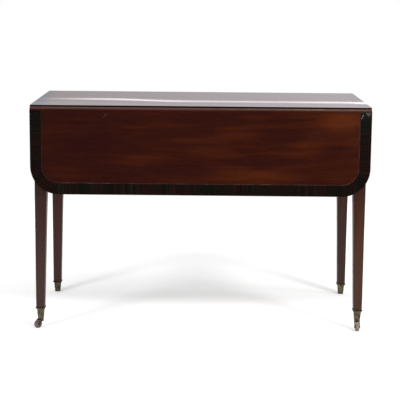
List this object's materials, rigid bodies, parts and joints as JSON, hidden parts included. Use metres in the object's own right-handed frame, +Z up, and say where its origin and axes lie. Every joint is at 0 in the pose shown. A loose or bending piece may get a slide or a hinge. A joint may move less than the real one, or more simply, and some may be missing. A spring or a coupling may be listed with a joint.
{
  "type": "pembroke table",
  "caption": "Pembroke table with rule-jointed drop leaves on iron hinges, fly brackets, an end drawer, tapered legs, brass caps and swivel castors.",
  "frame": {"origin": "on the floor, under the middle of the fixed top, with both leaves hanging and the drawer shut", "axes": "+X along the table towards the end with the drawer, +Y from the front leaf (castor side) to the back leaf, +Z up"},
  "size_m": [1.0674, 0.545, 0.72],
  "materials": {
    "mahogany": "old French polish, dark red-brown",
    "ebony": "polished, near black",
    "stringing": "polished, darkened by age",
    "beech": "bare, aged",
    "oak": "bare, aged",
    "brass": "dull, aged",
    "iron": "dark, aged"
  },
  "bodies": {
    "frame": {"top_board": "mahogany", "leg_front_left": "mahogany", "leg_front_right": "mahogany", "leg_back_left": "mahogany", "leg_back_right": "mahogany", "end_rail_left": "mahogany", "drawer_rail_lower": "mahogany", "drawer_rail_upper": "mahogany", "false_drawer_cockbeads": "mahogany", "top_crossbands": "ebony", "top_stringing": "stringing", "inner_rail_front": "beech", "inner_rail_back": "beech", "fly_rail_front": "beech", "fly_rail_back": "beech", "fly_bracket_front_left": "beech", "fly_bracket_front_right": "beech", "fly_bracket_back_left": "beech", "fly_bracket_back_right": "beech", "drawer_runner_front": "oak", "drawer_runner_back": "oak", "drawer_kicker_front": "oak", "drawer_kicker_back": "oak", "drawer_stops": "oak", "glue_blocks": "oak", "castor_cap_left": "brass", "castor_cap_right": "brass", "foot_cap_left": "brass", "foot_cap_right": "brass", "false_drawer_knobs": "brass", "hinge_short_flaps_front": "iron", "hinge_short_flaps_back": "iron", "hinge_pins": "iron", "hinge_top_screws": "iron", "top_screws": "iron", "fly_bracket_pins": "iron", "castor_pintles": "iron"},
    "front_leaf": {"front_leaf_board": "mahogany", "front_leaf_crossband": "ebony", "front_leaf_stringing": "stringing", "hinge_long_flaps_front": "iron", "hinge_leaf_screws_front": "iron"},
    "back_leaf": {"back_leaf_board": "mahogany", "back_leaf_crossband": "ebony", "back_leaf_stringing": "stringing", "hinge_long_flaps_back": "iron", "hinge_leaf_screws_back": "iron"},
    "drawer": {"drawer_front": "mahogany", "drawer_side_front": "oak", "drawer_side_back": "oak", "drawer_back": "oak", "drawer_bottom": "oak", "drawer_cockbeads": "mahogany", "drawer_knobs": "brass"},
    "castor_left": {"castor_horn_left": "brass", "castor_axle_left": "iron"},
    "castor_right": {"castor_horn_right": "brass", "castor_axle_right": "iron"},
    "wheel_left": {"castor_wheel_left": "brass"},
    "wheel_right": {"castor_wheel_right": "brass"}
  },
  "joints": [
    {"name": "front_leaf_hinge", "type": "hinge", "parent": "frame", "child": "front_leaf", "pos_m": [0, -0.259, 0.7065], "axis": [-1, 0, 0], "range_deg": [0, 90]},
    {"name": "back_leaf_hinge", "type": "hinge", "parent": "frame", "child": "back_leaf", "pos_m": [0, 0.259, 0.7065], "axis": [1, 0, 0], "range_deg": [0, 90]},
    {"name": "drawer_slide", "type": "slide", "parent": "frame", "child": "drawer", "axis": [1, 0, 0], "range_m": [0, 0.34]},
    {"name": "castor_left_swivel", "type": "hinge", "parent": "frame", "child": "castor_left", "pos_m": [-0.509, -0.2415, 0.03], "axis": [0, 0, 1], "continuous": true},
    {"name": "wheel_left_spin", "type": "hinge", "parent": "castor_left", "child": "wheel_left", "pos_m": [-0.51736, -0.25146, 0.013], "axis": [0.766, -0.6428, 0], "continuous": true},
    {"name": "castor_right_swivel", "type": "hinge", "parent": "frame", "child": "castor_right", "pos_m": [0.509, -0.2415, 0.03], "axis": [0, 0, 1], "continuous": true},
    {"name": "wheel_right_spin", "type": "hinge", "parent": "castor_right", "child": "wheel_right", "pos_m": [0.509, -0.2545, 0.013], "axis": [1, 0, 0], "continuous": true}
  ]
}
